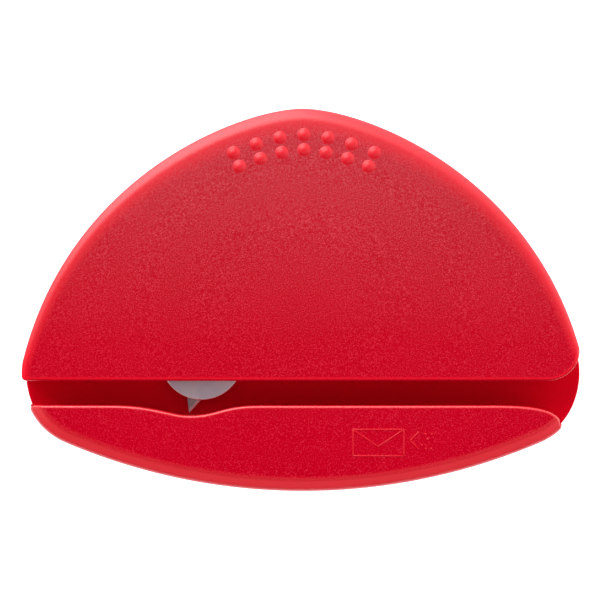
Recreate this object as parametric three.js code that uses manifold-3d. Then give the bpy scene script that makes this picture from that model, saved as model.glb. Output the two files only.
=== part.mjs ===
// Handheld letter opener with a shielded blade, in millimetres, +Z up.
//
// It lies on its flat back. X runs along the envelope slot, Y runs from the curved keel to the finger
// rest, and the origin is under the middle of the body. A red tray-like rear shell carries two front
// covers, the large dome and the slim keel. Between them an open slot runs the whole width. An envelope's
// edge goes in at the flared mouth on +X and is pulled towards -X, round a steel guard disc and over the
// tip of a blade that the disc shields.
import * as THREE from "three";
import { mergeVertices } from "three/addons/utils/BufferGeometryUtils.js";
import Module from "manifold-3d";

const wasm = await Module();
wasm.setup();

// ---------------------------------------------------------------- driving dimensions

const HALF_WIDTH = 45.9; // the body's widest point, just above the slot
const HALF_HEIGHT = 31.25; // finger rest at +HALF_HEIGHT, keel at -HALF_HEIGHT
const THICKNESS = 12; // at the crown of the face
const WALL = 1.8; // side walls and face of every moulding
const BACK_PLATE = 2; // rear shell behind the two hollows
const PARTING_Z = 5.8; // top of the rear shell's rim
const PARTING_GAP = 0.1; // witness line under the covers

const KEEL = { radius: 99.2, arcX: 38.85, tangent: 8 }; // the long arc of the lower edge and its hand-over
const FLANK = { x: 45.7, y: -9.93, lean: THREE.MathUtils.degToRad(14), below: 2.25, above: 31.7 };
const TOP_TANGENT = 9.8; // how flat the finger rest is
const CROWN_X = 0.9; // how far the face falls towards the ends
const CROWN_Y = 0.6; // and towards the finger rest and the keel

// The shoulder round the face: an inner corner, a sloping band and a tight outer roll, as plan widths.
const DOME_SHOULDER = { ease: 1.7, band: 0.3, roll: 0.3, slope: THREE.MathUtils.degToRad(31) };
const KEEL_SHOULDER = { ease: 0.5, band: 1.2, roll: 0.6, slope: THREE.MathUtils.degToRad(28) };
const SHOULDER = 2.3; // either one's whole width, which the dome's flanks narrow down to a share
const SHOULDER_END = THREE.MathUtils.degToRad(86); // the roll's slope where it meets the side wall
const NARROWEST = 0.33;
const TAPER = 1.5;
const BACK_ROUND = 1.6; // rounded edge of the back
const INNER_BEVEL = 0.9; // inside corner behind the shoulder

const SLOT_TOP = -13.2; // the dome's lip
const SLOT_BOTTOM = -17.25; // the keel cover's lip
const SLOT_FLOOR_Z = 2.7;
const SLOT_WALL = 1.6;
const LIP_ROUND = 0.3;
const MOUTH = { x: 39.9, along: 3, endX: 45.2, endY: -8.2, steep: 2.7, rise: 0.7 }; // the dome's corner
const LIP_FALL = { x: 31.2, along: 6.3, endX: 42.1, drop: 3.3, steep: 2.7 }; // the keel's lip under it
const DIP = { from: -31.43, low: -18.46, to: -7, depth: 1.64 }; // the keel's lip gives way to the disc
const DIP_EASE = { leave: 7.3, arrive: 3.2, part: 4.6, rejoin: 6.3 };

const DISC = { x: -16.72, y: -9.69, radius: 6.8, z: 4.15, thickness: 0.8, edge: 0.12 };
const BLADE = {
  tip: new THREE.Vector2(-18.79, -18.7),
  edgeAngle: THREE.MathUtils.degToRad(48.2),
  edgeLength: 8,
  backLean: THREE.MathUtils.degToRad(6.5), // from upright, away from the slot's mouth
  top: -5,
  z: 3.7,
  thickness: 0.4,
  bevel: 0.35,
};
const PEG = { radius: 1.1, clearance: 0.1, seatRadius: 3.4, topZ: 6.6, sleeveRadius: 2.9, sleeveSpare: 0.5 };
const SEAT_GAP = 0.05; // under the blade, under the disc and over it
const WINDOW_SPARE = 0.3; // round the disc, in the slot's upper wall

// Grip studs: each row follows the outline at a distance inside it, in even steps from its middle.
const STUD = { radius: 1.03, ball: 1.6, shiftX: 0.2, perSide: 3 };
const STUD_ROWS = [{ inset: 4.35, step: 3.97 }, { inset: 6.8, step: 3.64 }];

const MARK = {
  left: 8.15,
  right: 16.45,
  low: -25.41,
  high: -21.11,
  flap: [12.29, -23.91],
  arrow: [17.5, -22.93],
  arrowReach: 1.35,
  specks: [[19.94, -21.87], [21, -21.87], [20.27, -22.69], [19.37, -23.67], [20.02, -24.24], [20.92, -24.24]],
  width: 0.28,
  height: 0.14,
  sink: 0.4,
};

const PIN = { radius: 1.15, clearance: 0.1, socketRadius: 2.2, socketTopZ: 7.2, endZ: 3.3 };
const DOME_PINS = [[-33.7, -3], [33.7, -3], [-16.4, 18.4], [16.4, 18.4]];
const KEEL_PINS = [[-27.6, -22.6], [0, -24.2], [27.6, -22.6]];
const RIB = { width: 1, topZ: 4.6, x: 5, crossY: 6 };

const WELD = 0.5; // how far joined shapes run into each other
const OVERRUN = 6; // how far cutting shapes run past the body

const OUTLINE_STEPS = 44; // along half of the outline
const FINE_STEPS = 400; // the same where a place along it is measured
const RED = { color: 0xc8102a, roughness: 0.5, metalness: 0 };
const STEEL = { color: 0xb9bcc2, roughness: 0.3, metalness: 1 };

// ---------------------------------------------------------------- solids

// A closed BufferGeometry as a manifold-3d solid.
function solid(geometry) {
  const bare = new THREE.BufferGeometry();
  bare.setAttribute("position", geometry.getAttribute("position"));
  if (geometry.index) bare.setIndex(geometry.index);
  const merged = mergeVertices(bare, 1e-4);
  return new wasm.Manifold(
    new wasm.Mesh({
      numProp: 3,
      vertProperties: merged.attributes.position.array,
      triVerts: new Uint32Array(merged.index.array),
    }),
  );
}

// A manifold-3d solid as a BufferGeometry.
function geometryOf(made) {
  const mesh = made.getMesh();
  const geometry = new THREE.BufferGeometry();
  geometry.setAttribute("position", new THREE.BufferAttribute(mesh.vertProperties, 3));
  geometry.setIndex(new THREE.BufferAttribute(mesh.triVerts, 1));
  geometry.computeVertexNormals();
  return geometry;
}

const union = (solids) => solids.reduce((all, one) => all.add(one));

// Stacked counter-clockwise rings of equal length, lowest first, as one closed solid.
function loft(rings) {
  const count = rings[0].length;
  const top = (rings.length - 1) * count;
  const index = [];
  for (let first = 0; first < top; first += count) {
    for (let i = 0; i < count; i += 1) {
      const a = first + i;
      const b = first + ((i + 1) % count);
      index.push(a, b, b + count, a, b + count, a + count);
    }
  }
  const cap = (ring) => THREE.ShapeUtils.triangulateShape(ring.map((p) => new THREE.Vector2(p.x, p.y)), []);
  for (const [a, b, c] of cap(rings[0])) index.push(a, c, b);
  for (const [a, b, c] of cap(rings[rings.length - 1])) index.push(top + a, top + b, top + c);
  const geometry = new THREE.BufferGeometry();
  geometry.setAttribute(
    "position",
    new THREE.Float32BufferAttribute(rings.flat().flatMap((p) => p.toArray()), 3),
  );
  geometry.setIndex(index);
  return solid(geometry);
}

// A straight prism of a flat outline, from z0 to z1.
function prism(points, z0, z1) {
  const shape = new THREE.Shape(points);
  return solid(
    new THREE.ExtrudeGeometry(shape, { depth: z1 - z0, bevelEnabled: false }).translate(0, 0, z0),
  );
}

function post(x, y, radius, z0, z1, sides = 20) {
  const cylinder = new THREE.CylinderGeometry(radius, radius, z1 - z0, sides);
  return solid(cylinder.rotateX(Math.PI / 2).translate(x, y, (z0 + z1) / 2));
}

function block(x0, x1, y0, y1, z0, z1) {
  const box = new THREE.BoxGeometry(x1 - x0, y1 - y0, z1 - z0);
  return solid(box.translate((x0 + x1) / 2, (y0 + y1) / 2, (z0 + z1) / 2));
}

// ---------------------------------------------------------------- the body's outer form

// The outline seen from the front, counter-clockwise from the middle of the keel. Its halves mirror
// each other, with this many steps along each.
function bodyOutline(steps) {
  const keelCentreY = -HALF_HEIGHT + KEEL.radius;
  const keelAngle = Math.asin(KEEL.arcX / KEEL.radius);
  const keelEndY = keelCentreY - KEEL.radius * Math.cos(keelAngle);
  const flankAt = (length) => [
    FLANK.x + length * Math.sin(FLANK.lean),
    FLANK.y - length * Math.cos(FLANK.lean),
  ];
  const half = new THREE.Path();
  half.absarc(0, keelCentreY, KEEL.radius, -Math.PI / 2, -Math.PI / 2 + keelAngle, false);
  half.bezierCurveTo(
    KEEL.arcX + KEEL.tangent * Math.cos(keelAngle),
    keelEndY + KEEL.tangent * Math.sin(keelAngle),
    ...flankAt(FLANK.below),
    ...flankAt(0),
  );
  half.bezierCurveTo(...flankAt(-FLANK.above), TOP_TANGENT, HALF_HEIGHT, 0, HALF_HEIGHT);
  const right = half.getSpacedPoints(steps);
  const widest = Math.max(...right.map((p) => p.x));
  right.forEach((p) => p.setX((p.x * HALF_WIDTH) / widest));
  const left = right.slice(1, -1).reverse().map((p) => new THREE.Vector2(-p.x, p.y));
  return [...right, ...left];
}

const OUTLINE = bodyOutline(OUTLINE_STEPS);

// The outline moved in along its normals, by a distance that may depend on the point.
function inset(distanceAt, outline = OUTLINE) {
  const count = outline.length;
  return outline.map((p, i) => {
    const before = outline[(i + count - 1) % count];
    const after = outline[(i + 1) % count];
    const tangent = after.clone().sub(before).normalize();
    const moved = distanceAt(p);
    return new THREE.Vector2(p.x - tangent.y * moved, p.y + tangent.x * moved);
  });
}

// Height of the crowned face over a point, inside the shoulder.
const faceZ = (p) =>
  THICKNESS - CROWN_X * (p.x / HALF_WIDTH) ** 2 - CROWN_Y * (p.y / HALF_HEIGHT) ** 2;

const ring = (points, height) => points.map((p) => new THREE.Vector3(p.x, p.y, height(p)));

// The shoulder's width at a point, as a share of its full width.
function shoulderShare(p) {
  const upDome = (p.y - SLOT_TOP) / (HALF_HEIGHT - SLOT_TOP);
  const acrossSlot = (SLOT_TOP - p.y) / (SLOT_TOP - SLOT_BOTTOM);
  const rise = THREE.MathUtils.clamp(Math.max(upDome, acrossSlot), 0, 1) ** TAPER;
  return THREE.MathUtils.lerp(NARROWEST, 1, rise);
}

// A shoulder's profile from the outside in, as [distance from the outline, drop below the face] pairs.
function shoulderProfile({ ease, band, roll, slope }) {
  const easeRadius = ease / Math.sin(slope);
  const rollRadius = roll / (Math.sin(SHOULDER_END) - Math.sin(slope));
  const bandFoot = easeRadius * (1 - Math.cos(slope)) + band * Math.tan(slope);
  const rolled = [1, 0.7, 0.35, 0].map((share) => {
    const turn = THREE.MathUtils.lerp(slope, SHOULDER_END, share);
    const drop = bandFoot + rollRadius * (Math.cos(slope) - Math.cos(turn));
    return [rollRadius * (Math.sin(SHOULDER_END) - Math.sin(turn)), drop];
  });
  const eased = [1, 0.5].map((share) => {
    const turn = slope * share;
    return [roll + band + ease - easeRadius * Math.sin(turn), easeRadius * (1 - Math.cos(turn))];
  });
  return [...rolled, ...eased];
}

// The shoulder's rings, lowest first. The dome and the keel meet inside the slot, where they are cut away.
function shoulderRings() {
  const dome = shoulderProfile(DOME_SHOULDER);
  const keel = shoulderProfile(KEEL_SHOULDER);
  const pairAt = (p, i) => (p.y > (SLOT_TOP + SLOT_BOTTOM) / 2 ? dome : keel)[i];
  return dome.map((_, i) =>
    ring(
      inset((p) => pairAt(p, i)[0] * shoulderShare(p)),
      (p) => faceZ(p) - pairAt(p, i)[1] * shoulderShare(p),
    ),
  );
}

// The face inside the shoulder, as rings that shrink towards the middle.
function faceRings(edge, height) {
  return [1, 0.8, 0.55, 0.28].map((share) =>
    ring(edge.map((p) => p.clone().multiplyScalar(share)), height),
  );
}

function outerBody() {
  const backSteps = [0, 30, 60, 90].map(THREE.MathUtils.degToRad);
  const back = backSteps.map((turn) =>
    ring(inset(() => BACK_ROUND * (1 - Math.sin(turn))), () => BACK_ROUND * (1 - Math.cos(turn))),
  );
  const faceEdge = inset((p) => SHOULDER * shoulderShare(p));
  return loft([...back, ...shoulderRings(), ...faceRings(faceEdge, faceZ)]);
}

// The space inside the side walls, between the back plate and the face.
function innerBody() {
  const edge = inset(() => WALL);
  return loft([
    ring(edge, () => BACK_PLATE),
    ring(edge, (p) => faceZ(p) - WALL - INNER_BEVEL),
    ...faceRings(inset(() => WALL + INNER_BEVEL), (p) => faceZ(p) - WALL),
  ]);
}

// ---------------------------------------------------------------- the slot

// The slot's outline, grown by a distance into the material above and below it.
function slotOutline(grow) {
  const far = HALF_WIDTH + OVERRUN;
  const low = SLOT_BOTTOM - grow;
  const dip = low - DIP.depth;
  const fallX = LIP_FALL.x - grow;
  const fallEnd = new THREE.Vector2(LIP_FALL.endX - grow, low - LIP_FALL.drop);
  const lip = new THREE.Path();
  lip.moveTo(-far, low);
  lip.lineTo(DIP.from, low);
  lip.bezierCurveTo(DIP.from + DIP_EASE.leave, low, DIP.low - DIP_EASE.arrive, dip, DIP.low, dip);
  lip.bezierCurveTo(DIP.low + DIP_EASE.part, dip, DIP.to - DIP_EASE.rejoin, low, DIP.to, low);
  lip.lineTo(fallX, low);
  lip.bezierCurveTo(fallX + LIP_FALL.along, low, fallEnd.x, fallEnd.y + LIP_FALL.steep, fallEnd.x, fallEnd.y);
  lip.lineTo(far, fallEnd.y);
  const top = SLOT_TOP + grow;
  const endX = MOUTH.endX - grow;
  const corner = new THREE.Path();
  corner.moveTo(far, MOUTH.endY + MOUTH.rise + grow);
  corner.lineTo(endX, MOUTH.endY);
  corner.bezierCurveTo(endX, MOUTH.endY - MOUTH.steep, MOUTH.x + MOUTH.along, top, MOUTH.x, top);
  corner.lineTo(-far, top);
  return [...lip.getPoints(8), ...corner.getPoints(8)];
}

// The slot itself, with straight walls and rounded lips.
function slotCutter() {
  const lips = [0, 30, 60, 90].map(THREE.MathUtils.degToRad).map((turn) =>
    ring(
      slotOutline(LIP_ROUND * (1 - Math.cos(turn))),
      (p) => faceZ(p) - LIP_ROUND * (1 - Math.sin(turn)),
    ),
  );
  return loft([
    ring(slotOutline(0), () => SLOT_FLOOR_Z),
    ...lips,
    ring(slotOutline(LIP_ROUND), () => THICKNESS + OVERRUN),
  ]);
}

// ---------------------------------------------------------------- the mouldings

// Both covers and the rear shell before they are parted, hollow and slotted.
function hollowBody() {
  const hollow = innerBody().subtract(prism(slotOutline(SLOT_WALL), 0, THICKNESS));
  return outerBody().subtract(hollow).subtract(slotCutter());
}

const FAR = HALF_WIDTH + HALF_HEIGHT;
const below = (z) => block(-FAR, FAR, -FAR, FAR, -FAR, z);

function rearShell(body) {
  const tray = body.intersect(below(PARTING_Z));
  const sockets = [...DOME_PINS, ...KEEL_PINS].map(([x, y]) =>
    post(x, y, PIN.socketRadius, BACK_PLATE - WELD, PIN.socketTopZ),
  );
  const bores = [...DOME_PINS, ...KEEL_PINS].map(([x, y]) =>
    post(x, y, PIN.radius + PIN.clearance, BACK_PLATE, FAR),
  );
  return union([tray, ...sockets, ribs(), bladeSeat()])
    .subtract(union(bores))
    .subtract(bladeWindow());
}

// A cross of stiffening ribs behind the dome, from side wall to side wall.
function ribs() {
  const low = BACK_PLATE - WELD;
  const upright = (x) => block(x - RIB.width / 2, x + RIB.width / 2, SLOT_TOP + WELD, FAR, low, RIB.topZ);
  const across = block(-FAR, FAR, RIB.crossY, RIB.crossY + RIB.width, low, RIB.topZ);
  return union([upright(-RIB.x), upright(RIB.x), across]).intersect(outerBody());
}

// The seat and peg for the blade and the disc, and a rail along each side of the blade.
function bladeSeat() {
  const low = BACK_PLATE - WELD;
  const railTop = DISC.z - 2 * SEAT_GAP;
  const { foot, shoulder, shoulderTop, footTop } = bladeCorners();
  const rail = (from, to, side) => {
    const inner = side * PEG.clearance;
    const outer = side * (PEG.clearance + RIB.width);
    const across = [
      [from, inner],
      [from, outer],
      [to, outer],
      [to, inner],
    ].map(([p, shift]) => new THREE.Vector2(p.x + shift, p.y));
    return prism(across, low, railTop).intersect(block(-FAR, FAR, SLOT_TOP + WELD, BLADE.top, low, railTop));
  };
  return union([
    post(DISC.x, DISC.y, PEG.seatRadius, low, BLADE.z - SEAT_GAP, 28),
    post(DISC.x, DISC.y, PEG.radius, BACK_PLATE, PEG.topZ),
    rail(foot, footTop, -1),
    rail(shoulder, shoulderTop, 1),
  ]);
}

// The gap in the slot's upper wall that the disc and the blade come out of.
function bladeWindow() {
  const half = DISC.radius + WINDOW_SPARE;
  const through = SLOT_TOP + SLOT_WALL + PEG.clearance;
  return block(DISC.x - half, DISC.x + half, SLOT_TOP - WELD, through, BLADE.z - 2 * SEAT_GAP, FAR);
}

// Pins under a cover, long enough to reach well into the rear shell's sockets.
const coverPins = (places) =>
  places.map(([x, y]) => post(x, y, PIN.radius, PIN.endZ, faceZ({ x, y }) - WALL / 2));

function domeCover(part) {
  const sleeveTop = faceZ(DISC) - WALL / 2;
  const sleeveEnd = DISC.z + DISC.thickness + 2 * SEAT_GAP;
  const sleeve = post(DISC.x, DISC.y, PEG.sleeveRadius, sleeveEnd, sleeveTop, 24).subtract(
    post(DISC.x, DISC.y, PEG.radius + 2 * PEG.clearance, 0, PEG.topZ + PEG.sleeveSpare),
  );
  return union([part, ...coverPins(DOME_PINS), sleeve, ...studs()]);
}

// Two curved rows of round grip studs near the finger rest, from the middle of each row outwards.
function studs() {
  const outline = bodyOutline(FINE_STEPS);
  return STUD_ROWS.flatMap((row) => {
    const rightHalf = inset(() => row.inset, outline).slice(FINE_STEPS / 2, FINE_STEPS + 1).reverse();
    const path = new THREE.Path(rightHalf);
    const found = [stud(STUD.shiftX, rightHalf[0].y)];
    for (let i = 1; i <= STUD.perSide; i += 1) {
      const { x, y } = path.getPointAt((i * row.step) / path.getLength());
      found.push(stud(STUD.shiftX + x, y), stud(STUD.shiftX - x, y));
    }
    return found;
  });
}

// A low cap of a ball on a short foot that is sunk into the face.
function stud(x, y) {
  const { radius, ball } = STUD;
  const rim = Math.asin(radius / ball);
  const cap = [1, 0.75, 0.5, 0.25, 0].map((share) => {
    const turn = rim * share;
    return new THREE.Vector2(ball * Math.sin(turn), ball * (Math.cos(turn) - Math.cos(rim)));
  });
  const profile = [new THREE.Vector2(0, -WELD), new THREE.Vector2(radius, -WELD), ...cap];
  const turned = new THREE.LatheGeometry(profile, 16).rotateX(Math.PI / 2);
  return solid(turned.translate(x, y, faceZ({ x, y })));
}

const keelCover = (part) => union([part, ...coverPins(KEEL_PINS), ...envelopeMark()]);

// The raised mark on the keel: an envelope, an arrowhead that points it into the slot, and specks behind it.
function envelopeMark() {
  const { left, right, low, high, flap } = MARK;
  const strokes = [
    [[left, low], [right, low]],
    [[right, low], [right, high]],
    [[right, high], [left, high]],
    [[left, high], [left, low]],
    [[left, high], flap],
    [flap, [right, high]],
    [MARK.arrow, [MARK.arrow[0] + MARK.arrowReach, MARK.arrow[1] + MARK.arrowReach]],
    [MARK.arrow, [MARK.arrow[0] + MARK.arrowReach, MARK.arrow[1] - MARK.arrowReach]],
  ].map(([from, to]) => stroke(from, to));
  const specks = MARK.specks.map(([x, y]) => {
    const z = faceZ({ x, y });
    return post(x, y, MARK.width / 2, z - MARK.sink, z + MARK.height, 8);
  });
  return [...strokes, ...specks];
}

// A raised line on the face between two points, with square ends that reach half its width past them.
function stroke([x0, y0], [x1, y1]) {
  const length = Math.hypot(x1 - x0, y1 - y0) + MARK.width;
  const x = (x0 + x1) / 2;
  const y = (y0 + y1) / 2;
  const bar = new THREE.BoxGeometry(length, MARK.width, MARK.height + MARK.sink);
  bar.rotateZ(Math.atan2(y1 - y0, x1 - x0));
  return solid(bar.translate(x, y, faceZ({ x, y }) + (MARK.height - MARK.sink) / 2));
}

// ---------------------------------------------------------------- the cutting parts

// The blade's corners: the tip, the other end of the cutting edge, and the two above them.
function bladeCorners() {
  const { tip, edgeAngle, edgeLength, backLean, top } = BLADE;
  const up = (p) => new THREE.Vector2(p.x - (top - p.y) * Math.tan(backLean), top);
  const edge = new THREE.Vector2(Math.cos(edgeAngle), Math.sin(edgeAngle)).multiplyScalar(edgeLength);
  const shoulder = tip.clone().add(edge);
  return { foot: tip, shoulder, shoulderTop: up(shoulder), footTop: up(tip) };
}

// A flat blade with one corner ground to a point, bevelled on its upper side along the cutting edge.
function cutterBlade() {
  const { z, thickness, bevel, edgeAngle, backLean } = BLADE;
  const { foot, shoulder, shoulderTop, footTop } = bladeCorners();
  const rise = bevel / Math.cos(edgeAngle) / (1 + Math.tan(edgeAngle) * Math.tan(backLean));
  const raised = (p) => new THREE.Vector2(p.x - rise * Math.tan(backLean), p.y + rise);
  const plate = loft([
    ring([foot, shoulder, shoulderTop, footTop], () => z),
    ring([raised(foot), raised(shoulder), shoulderTop, footTop], () => z + thickness),
  ]);
  return plate.subtract(post(DISC.x, DISC.y, PEG.radius + PEG.clearance, 0, FAR));
}

// A steel washer with a softened rim that keeps fingers off the blade's edge.
function guardDisc() {
  const { x, y, radius, z, thickness, edge } = DISC;
  const hole = PEG.radius + PEG.clearance;
  const profile = [
    [hole, 0],
    [radius - edge, 0],
    [radius, edge],
    [radius, thickness - edge],
    [radius - edge, thickness],
    [hole, thickness],
    [hole, 0],
  ].map(([r, height]) => new THREE.Vector2(r, height));
  return solid(new THREE.LatheGeometry(profile, 40).rotateX(Math.PI / 2).translate(x, y, z));
}

// ---------------------------------------------------------------- the object

function node(name, made, look) {
  const mesh = new THREE.Mesh(geometryOf(made), new THREE.MeshStandardMaterial(look));
  mesh.name = name;
  return mesh;
}

const body = hollowBody();
const [first, second] = body.subtract(below(PARTING_Z + PARTING_GAP)).decompose();
const [domePart, keelPart] = first.volume() > second.volume() ? [first, second] : [second, first];

const letterOpener = new THREE.Group();
letterOpener.add(
  node("rear_shell", rearShell(body), RED),
  node("dome_cover", domeCover(domePart), RED),
  node("keel_cover", keelCover(keelPart), RED),
  node("cutter_blade", cutterBlade(), STEEL),
  node("guard_disc", guardDisc(), STEEL),
);

export default letterOpener;
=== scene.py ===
"""Scene of a handheld letter opener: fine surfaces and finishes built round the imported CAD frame, in metres.

X runs along the envelope slot, +Y points from the keel to the finger rest and +Z comes out of the front
face. The opener lies on its back on a white table and is seen from straight above.
"""
import math

import bmesh
import bpy
import numpy as np
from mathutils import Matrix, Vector
from mathutils.geometry import delaunay_2d_cdt


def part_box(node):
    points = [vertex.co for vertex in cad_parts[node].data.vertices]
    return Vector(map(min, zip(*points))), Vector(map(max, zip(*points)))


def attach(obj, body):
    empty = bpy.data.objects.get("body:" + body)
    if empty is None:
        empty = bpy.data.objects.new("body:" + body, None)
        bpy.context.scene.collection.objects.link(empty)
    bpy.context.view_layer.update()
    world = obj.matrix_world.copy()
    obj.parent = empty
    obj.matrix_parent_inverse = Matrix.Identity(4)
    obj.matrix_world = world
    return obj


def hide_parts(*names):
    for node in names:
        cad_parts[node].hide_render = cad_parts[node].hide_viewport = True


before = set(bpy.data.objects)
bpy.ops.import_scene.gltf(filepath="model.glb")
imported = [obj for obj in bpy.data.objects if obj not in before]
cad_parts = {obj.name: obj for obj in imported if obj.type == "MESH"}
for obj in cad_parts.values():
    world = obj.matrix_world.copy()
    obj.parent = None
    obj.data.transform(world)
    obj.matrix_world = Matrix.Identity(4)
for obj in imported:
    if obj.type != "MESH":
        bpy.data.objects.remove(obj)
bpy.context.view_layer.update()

# ------------------------------------------------- driving dimensions, the CAD part's or a hair inside them

MM = 0.001

HALF_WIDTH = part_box("rear_shell")[1].x
HALF_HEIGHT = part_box("rear_shell")[1].y
THICKNESS = 12 * MM
PARTING_Z = 5.8 * MM
PARTING_GAP = 0.03 * MM
CROWN_X = 0.9 * MM
CROWN_Y = 0.6 * MM

# The outline's right half: the keel's long arc, a curve up to the flank's widest point, and the dome.
KEEL_RADIUS = 99.2 * MM
KEEL_ARC_X = 38.85 * MM
KEEL_TANGENT = 8 * MM
FLANK = (45.7 * MM, -9.93 * MM)
FLANK_LEAN = math.radians(14)
FLANK_TANGENT_DOWN = 2.25 * MM
FLANK_TANGENT_UP = 31.7 * MM
TOP_TANGENT = 9.8 * MM

# The shoulder round the face: the plan widths of its inner corner, sloping band and outer roll, and the
# band's slope. The roll ends almost upright, at the side wall. The dome's flanks have a narrower shoulder.
DOME_SHOULDER = (1.7 * MM, 0.3 * MM, 0.3 * MM, math.radians(31))
KEEL_SHOULDER = (0.5 * MM, 1.2 * MM, 0.6 * MM, math.radians(28))
ROLL_END = math.radians(86)
SHOULDER = 2.3 * MM
NARROWEST = 0.33
TAPER = 1.5

BACK_ROUND = 1.6 * MM

# The slot. A lip is the rounded edge of the face above or below it.
SLOT_TOP = -13.2 * MM
SLOT_BOTTOM = -17.25 * MM
SLOT_FLOOR_Z = 2.7 * MM
FLOOR_FILLET = 0.12 * MM
FLOOR_EDGE_ROUND = 0.35 * MM
DOME_LIP = 0.45 * MM
KEEL_LIP = 0.3 * MM
# The dome's corner at the slot's right end, the keel lip's fall under it, and that lip's dip at the disc.
MOUTH = (39.9 * MM, SLOT_TOP)
MOUTH_ALONG = 3 * MM
MOUTH_STEEP = 2.7 * MM
MOUTH_END = (45.2 * MM, -8.2 * MM)
LIP_FALL = (31.2 * MM, SLOT_BOTTOM)
LIP_FALL_ALONG = 6.3 * MM
LIP_FALL_STEEP = 2.7 * MM
LIP_FALL_END = (42.1 * MM, SLOT_BOTTOM - 3.3 * MM)
DIP_FROM, DIP_LOW, DIP_TO = -31.43 * MM, -18.46 * MM, -7 * MM
DIP_LEAVE, DIP_ARRIVE, DIP_PART, DIP_REJOIN = 7.3 * MM, 3.2 * MM, 4.6 * MM, 6.3 * MM
DIP_DEPTH = 1.64 * MM
LIP_TURN = 0.1 * MM
DOME_CORNER = 0.9 * MM
KEEL_CORNERS = (1.4 * MM, 1.3 * MM)

WINDOW_X = (-24 * MM, -9.5 * MM)
WINDOW_Z = (3.6 * MM, PARTING_Z)
WINDOW_DEPTH = 10 * MM

DISC_CENTRE = (-16.72 * MM, -9.69 * MM)
DISC_RADIUS = 6.79 * MM
DISC_HOLE = 1.25 * MM
DISC_Z = 4.16 * MM
DISC_THICKNESS = 0.78 * MM
DISC_EDGE = 0.16 * MM

BLADE_TIP = (-18.79 * MM, -18.69 * MM)
BLADE_EDGE_ANGLE = math.radians(48.2)
BLADE_EDGE_LENGTH = 7.9 * MM
BLADE_BACK_LEAN = math.radians(6.5)
BLADE_TOP = -5.1 * MM
BLADE_Z = (3.71 * MM, 4.09 * MM)
BLADE_BEVEL = 0.35 * MM
EDGE_FADE = 0.04 * MM

STUD_RADIUS = 1.03 * MM
STUD_BALL = 1.6 * MM
STUD_RIM = 0.94  # where the ball gives way to the root's fillet, as a share of the rim's angle
STUD_ROOT = 0.15 * MM
STUD_ROOT_IN = 0.2 * STUD_ROOT
STUD_ROOT_RISE = 0.015 * MM
STUD_SHIFT = 0.2 * MM
STUDS_PER_SIDE = 3
STUD_ROWS = ((4.35 * MM, 3.97 * MM), (6.8 * MM, 3.64 * MM))

# The raised mark on the keel. Its specks are points in millimetres.
MARK_LEFT, MARK_RIGHT = 8.15 * MM, 16.45 * MM
MARK_LOW, MARK_HIGH = -25.41 * MM, -21.11 * MM
MARK_FLAP = (12.29 * MM, -23.91 * MM)
MARK_ARROW = (17.5 * MM, -22.93 * MM)
MARK_ARROW_REACH = 1.35 * MM
MARK_SPECKS = (
    (19.94, -21.87),
    (21, -21.87),
    (20.27, -22.69),
    (19.37, -23.67),
    (20.02, -24.24),
    (20.92, -24.24),
)
MARK_WIDTH = 0.34 * MM
MARK_HEIGHT = 0.08 * MM
STROKE_RIDGE = 0.45  # a line's flat top and its ends, as shares of its width
STROKE_END = 0.6
SPECK_RADIUS = 0.6 * MARK_WIDTH
SPECK_CREST = (0.75, 0.7)  # a point on its rounding, as shares of its radius and height
SINK = 0.02 * MM  # how far the raised details reach under the face

# Finishes as (grain, gloss, depth inside the slot). Steel reads the first number as its share of painted edge
# highlight.
SMOOTH = (0, 1, 0)
STUD = (0.25, 0.75, 0)
STROKE = (0.5, 0.35, 0)
IN_SLOT = (0.2, 0.03, 1)
EDGE_HIGHLIGHT = (1, 1, 0)

# Grain across each shoulder, by shares of its width, and across each lip, by shares of its rounding. Where the
# grain fades the colour turns to the smooth plastic's painted lighter one, a painted light that fades in from
# the rim. Then the gloss of the grained and of the smooth surface at some heights up the body.
DOME_GRAIN = ((0.4, 2.2), (0, 1))
KEEL_GRAIN = ((0.12, 0.28, 0.65, 1.1), (0.5, 0, 0, 1))
DOME_LIP_GRAIN = ((0.3, 1, 1.6), (0.8, 0.2, 1))
KEEL_LIP_GRAIN = ((0.6, 1.6), (0, 1))
FACE_GLOSS = ((-23 * MM, -7 * MM, 9 * MM, 19 * MM, 30 * MM), (0, 0.14, 0.85, 1.4, 1.8))
SMOOTH_GLOSS = ((-24 * MM, -17.3 * MM, -17.2 * MM, -12 * MM, -5 * MM), (1.5, 1.7, 0.2, 0.25, 1))

PARTING_ROUND = 0.02 * MM

# How finely the surfaces are drawn: steps along lines, grids, and rows inside an edge in millimetres.
WELD = 0.001 * MM
POINTS_AT_A_TIME = 500
OUTLINE_STEP = 0.25 * MM
CORNER_STEP = 0.12 * MM
SHORTEST_STEP = 0.01 * MM
SHADING_ROW = 0.12 * MM
KEEL_STEPS, END_STEPS, DOME_STEPS = 160, 120, 300
LIP_STEPS = 40
BACK_STEPS = 9
STROKE_STEPS = 9
STUD_STEPS = 9
STUD_SIDES = 28
SPECK_SIDES = 12
DISC_SIDES = 180
DISC_EDGE_STEPS = 5
ROW_MARGIN = 0.985  # a row leaves out points nearer the edge than this share of its distance
INSIDE_ONLY = 1  # the triangulation's name for leaving out what lies outside the loop
SAME_POINT = 1e-6
FLOOR_GRID = 0.7 * MM
FACE_GRID = 1.3 * MM
FLOOR_ROWS = (0.03, 0.08, 0.13, 0.19, 0.25, 0.35, 0.6)
EDGE_ROWS = (
    *(0.03, 0.07, 0.12, 0.18, 0.24, 0.31, 0.4, 0.5, 0.6, 0.75),
    *(0.95, 1.2, 1.45, 1.7, 1.85, 2, 2.15, 2.3, 2.6, 3.1),
)

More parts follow.
